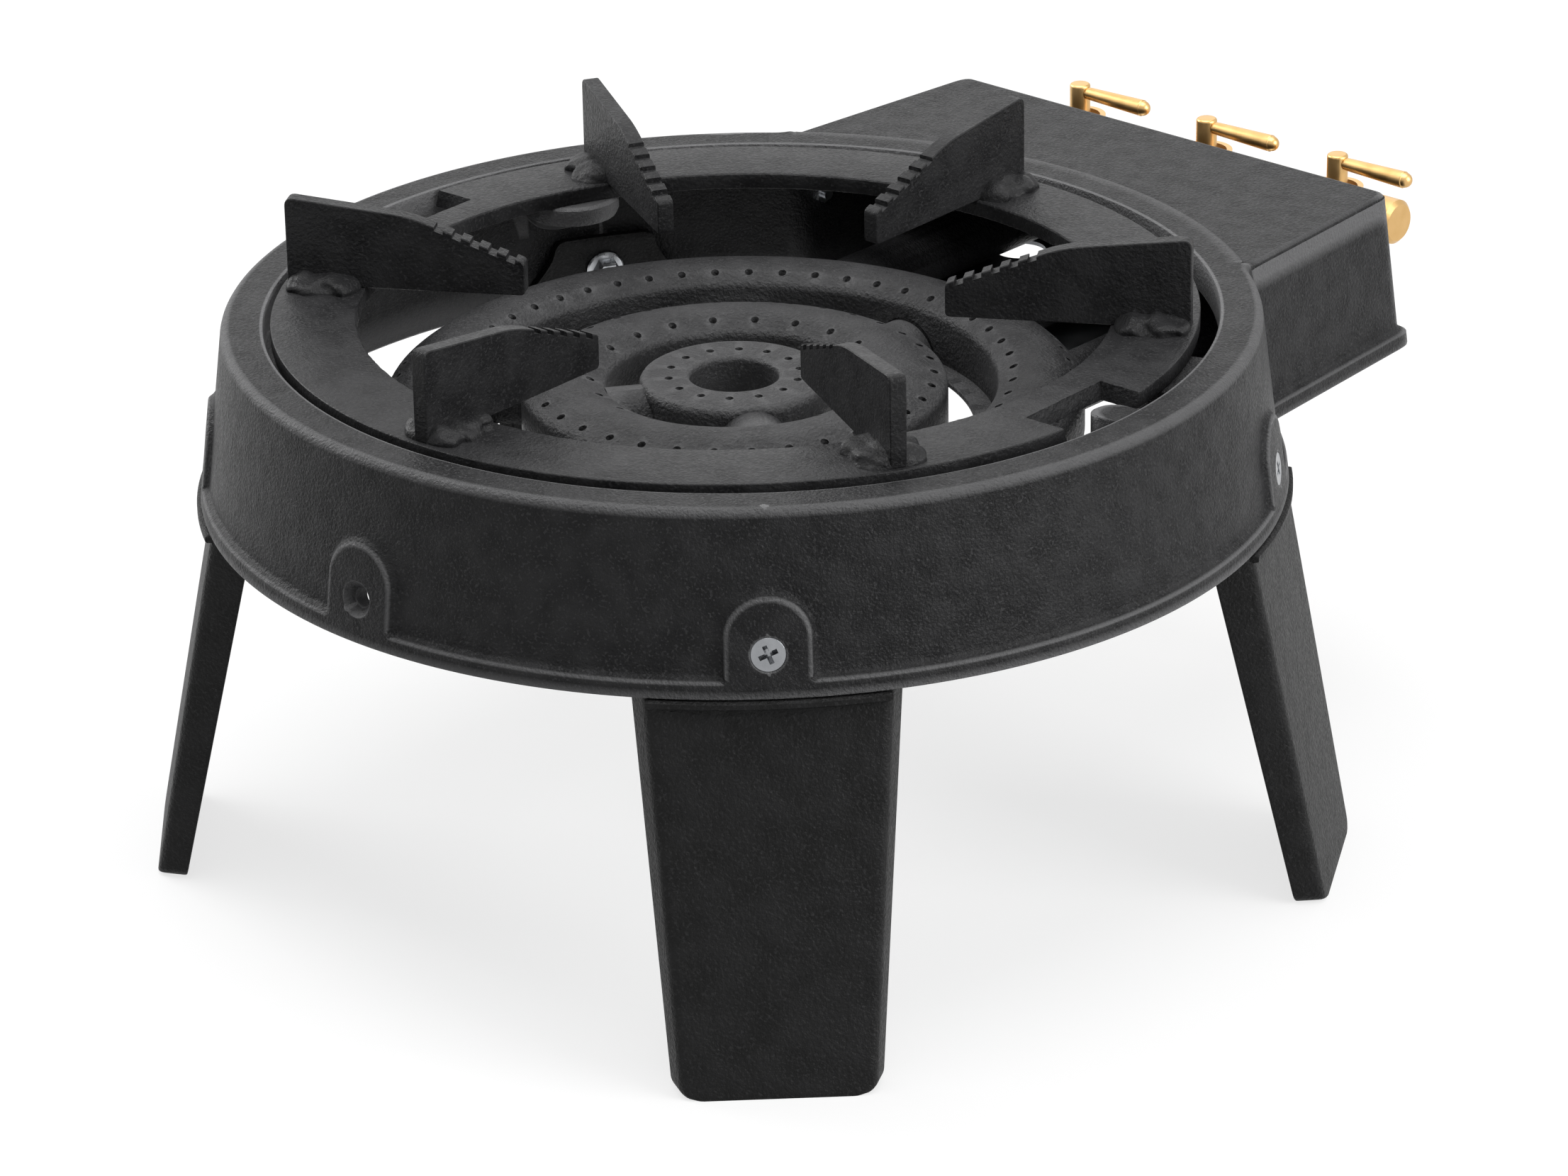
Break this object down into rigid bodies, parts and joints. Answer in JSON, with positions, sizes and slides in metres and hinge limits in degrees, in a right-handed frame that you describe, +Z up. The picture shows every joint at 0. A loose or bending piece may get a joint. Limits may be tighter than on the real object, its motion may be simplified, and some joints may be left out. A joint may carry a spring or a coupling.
{
  "type": "wok burner",
  "caption": "Cast-iron gas wok burner: concentric flame rings in a round drum on splayed legs, with a lift-off finned pot support and brass lever valves behind its rear box.",
  "frame": {"origin": "middle of the footprint on the ground, under the bounding box's centre", "axes": "+Z up; +Y from the drum towards the valve box and the manifold; +X to the right seen from the front"},
  "size_m": [0.4056, 0.485, 0.234],
  "materials": {
    "enamel": "satin black, finely textured",
    "burner_iron": "sand-cast, dark grey",
    "brass": "turned, satin",
    "zinc_steel": "zinc plated"
  },
  "bodies": {
    "burner": {"housing": "enamel", "centre_burner": "burner_iron", "middle_burner": "burner_iron", "outer_burner": "burner_iron", "centre_base": "zinc_steel", "middle_base": "zinc_steel", "outer_base": "zinc_steel", "burner_screws": "zinc_steel", "burner_nuts": "zinc_steel", "leg_front_left": "enamel", "leg_front_right": "enamel", "leg_rear_left": "enamel", "leg_rear_right": "enamel", "leg_screws": "zinc_steel", "leg_nuts": "zinc_steel", "manifold": "brass", "hose_connector": "brass", "manifold_brackets": "zinc_steel", "bracket_screws": "zinc_steel", "bracket_nuts": "zinc_steel", "box_plate": "zinc_steel", "valve_body_left": "brass", "valve_body_centre": "brass", "valve_body_right": "brass", "valve_washers": "zinc_steel", "injectors": "brass", "box_screw": "zinc_steel", "box_nut": "zinc_steel"},
    "pot_support": {"pot_ring": "enamel", "pot_fin_1": "enamel", "pot_fin_2": "enamel", "pot_fin_3": "enamel", "pot_fin_4": "enamel", "pot_fin_5": "enamel", "pot_fin_6": "enamel", "pot_welds": "enamel"},
    "valve_left": {"valve_plug_left": "brass", "valve_lever_left": "brass"},
    "valve_centre": {"valve_plug_centre": "brass", "valve_lever_centre": "brass"},
    "valve_right": {"valve_plug_right": "brass", "valve_lever_right": "brass"}
  },
  "joints": [
    {"name": "pot_support_lift", "type": "slide", "parent": "burner", "child": "pot_support", "axis": [0, 0, 1], "range_m": [0, 0.06]},
    {"name": "valve_left_turn", "type": "hinge", "parent": "burner", "child": "valve_left", "pos_m": [-0.063, 0.21492, 0.1963], "axis": [0, 0, 1], "range_deg": [0, 90]},
    {"name": "valve_centre_turn", "type": "hinge", "parent": "burner", "child": "valve_centre", "pos_m": [0, 0.21492, 0.1963], "axis": [0, 0, 1], "range_deg": [0, 90]},
    {"name": "valve_right_turn", "type": "hinge", "parent": "burner", "child": "valve_right", "pos_m": [0.063, 0.21492, 0.1963], "axis": [0, 0, 1], "range_deg": [0, 90]}
  ]
}
